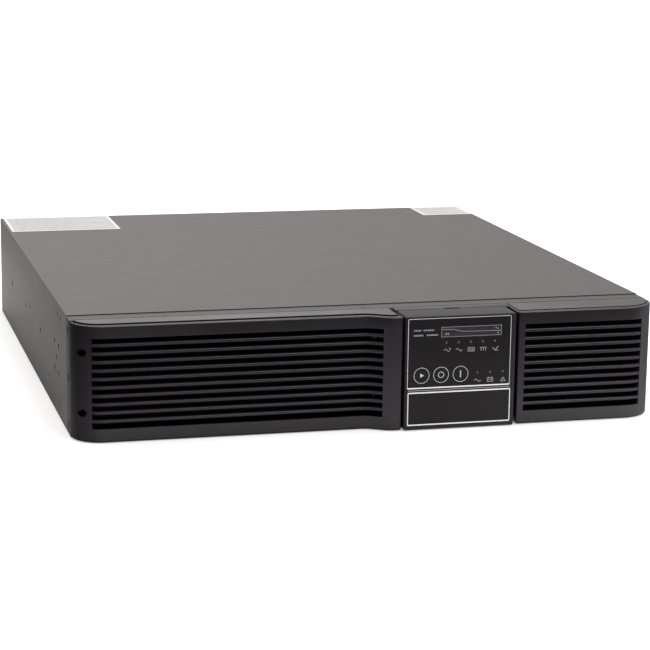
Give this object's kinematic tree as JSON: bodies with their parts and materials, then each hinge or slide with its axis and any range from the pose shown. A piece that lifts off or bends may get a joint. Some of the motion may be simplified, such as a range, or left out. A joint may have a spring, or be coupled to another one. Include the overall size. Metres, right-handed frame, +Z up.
{
  "type": "rack-mount uninterruptible power supply",
  "caption": "Flat two-unit power-backup box with a louvred front, a square key-and-lamp display module, a slide-out battery drawer, rear sockets and a fan.",
  "frame": {"origin": "middle of the footprint, on the plane the unit rests on", "axes": "+Z up, +Y towards the back with the sockets and fan, -Y towards the louvred front and the display, +X to the right as seen from the front"},
  "size_m": [0.44, 0.497, 0.0861],
  "materials": {
    "case_paint": "fine powder coat, satin",
    "case_screw": "black zinc",
    "label_paper": "matte",
    "zinc_sheet": "galvanised",
    "black_sheet": "black coated",
    "bezel_plastic": "fine spark texture",
    "screen_foam": "open mesh",
    "module_plastic": "fine spark texture",
    "overlay_film": "semi-gloss film",
    "lens": "smoked clear",
    "board": "solder mask",
    "control_board": "solder mask",
    "flat_cable": "matte",
    "battery_case": "matte",
    "tin_tab": "tinned",
    "lead_insulation": "matte",
    "webbing": "woven",
    "bright_screw": "zinc plated",
    "red_housing": "matte",
    "black_housing": "matte",
    "core_steel": "varnished laminations",
    "winding": "enamelled wire and tape",
    "standoff_brass": "machined",
    "heat_sink": "extruded",
    "device_black": "moulded",
    "capacitor_sleeve": "sleeve",
    "relay_case": "moulded",
    "choke_wire": "enamelled wire",
    "fuse_ceramic": "glazed",
    "fan_plastic": "moulded",
    "guard_wire": "bright plated",
    "pin_brass": "plated",
    "button_ivory": "moulded",
    "shell_metal": "tinned shell",
    "terminal_green": "moulded",
    "connector_grey": "moulded"
  },
  "bodies": {
    "chassis": {"base_chassis": "case_paint", "front_frame": "case_paint", "top_cover": "case_paint", "top_labels": "label_paper", "rear_panel": "case_paint", "bay_divider": "zinc_sheet", "tray_guides": "zinc_sheet", "strip_screws": "case_screw", "vent_bezel": "bezel_plastic", "dust_screen": "screen_foam", "display_cable": "flat_cable", "bay_socket": "black_housing", "transformer_core": "core_steel", "transformer_coil": "winding", "transformer_brackets": "zinc_sheet", "main_board": "board", "board_standoffs": "standoff_brass", "heat_sinks": "heat_sink", "power_transistors": "device_black", "bulk_capacitors": "capacitor_sleeve", "relays": "relay_case", "choke": "choke_wire", "fuses": "fuse_ceramic", "control_board": "control_board", "bay_wires": "lead_insulation", "fan_frame": "fan_plastic", "fan_guard": "guard_wire", "fan_screws": "bright_screw", "inlet_body": "black_housing", "inlet_pins": "pin_brass", "outlets": "black_housing", "breaker_body": "black_housing", "comm_slot_cover": "case_paint", "comm_slot_screws": "bright_screw", "data_ports": "shell_metal", "surge_jacks": "black_housing", "shutdown_terminal": "terminal_green", "pack_connector": "connector_grey"},
    "battery_drawer": {"battery_tray": "black_sheet", "battery_blocks": "battery_case", "battery_tabs": "tin_tab", "battery_links": "lead_insulation", "battery_clamps": "zinc_sheet", "pull_strap": "webbing", "tray_screws": "bright_screw", "drawer_plug": "red_housing"},
    "front_battery_bezel": {"battery_bezel": "bezel_plastic", "bezel_screws": "case_screw"},
    "display_module": {"display_housing": "module_plastic", "display_overlay": "overlay_film", "badge_plate": "overlay_film", "indicator_lenses": "lens", "level_meters": "lens", "display_board": "board"},
    "test_key": {"test_key": "overlay_film"},
    "off_key": {"off_key": "overlay_film"},
    "on_key": {"on_key": "overlay_film"},
    "fan_rotor": {"fan_rotor": "fan_plastic"},
    "breaker_button": {"breaker_button": "button_ivory"}
  },
  "joints": [
    {"name": "battery_draw", "type": "slide", "parent": "chassis", "child": "battery_drawer", "axis": [0, -1, 0], "range_m": [0, 0.3]},
    {"name": "bezel_pull", "type": "slide", "parent": "chassis", "child": "front_battery_bezel", "axis": [0, -1, 0], "range_m": [0, 0.36]},
    {"name": "display_pull", "type": "slide", "parent": "chassis", "child": "display_module", "axis": [0, -1, 0], "range_m": [0, 0.025]},
    {"name": "test_press", "type": "slide", "parent": "display_module", "child": "test_key", "axis": [0, 1, 0], "range_m": [0, 0.0008]},
    {"name": "off_press", "type": "slide", "parent": "display_module", "child": "off_key", "axis": [0, 1, 0], "range_m": [0, 0.0008]},
    {"name": "on_press", "type": "slide", "parent": "display_module", "child": "on_key", "axis": [0, 1, 0], "range_m": [0, 0.0008]},
    {"name": "fan_spin", "type": "hinge", "parent": "chassis", "child": "fan_rotor", "pos_m": [0.168, 0.232, 0.043], "axis": [0, 1, 0], "continuous": true},
    {"name": "breaker_trip", "type": "slide", "parent": "chassis", "child": "breaker_button", "axis": [0, 1, 0], "range_m": [0, 0.003]}
  ],
  "couplings": [
    {"joint": "bezel_pull", "follows": "battery_draw", "ratio": 1.2}
  ]
}
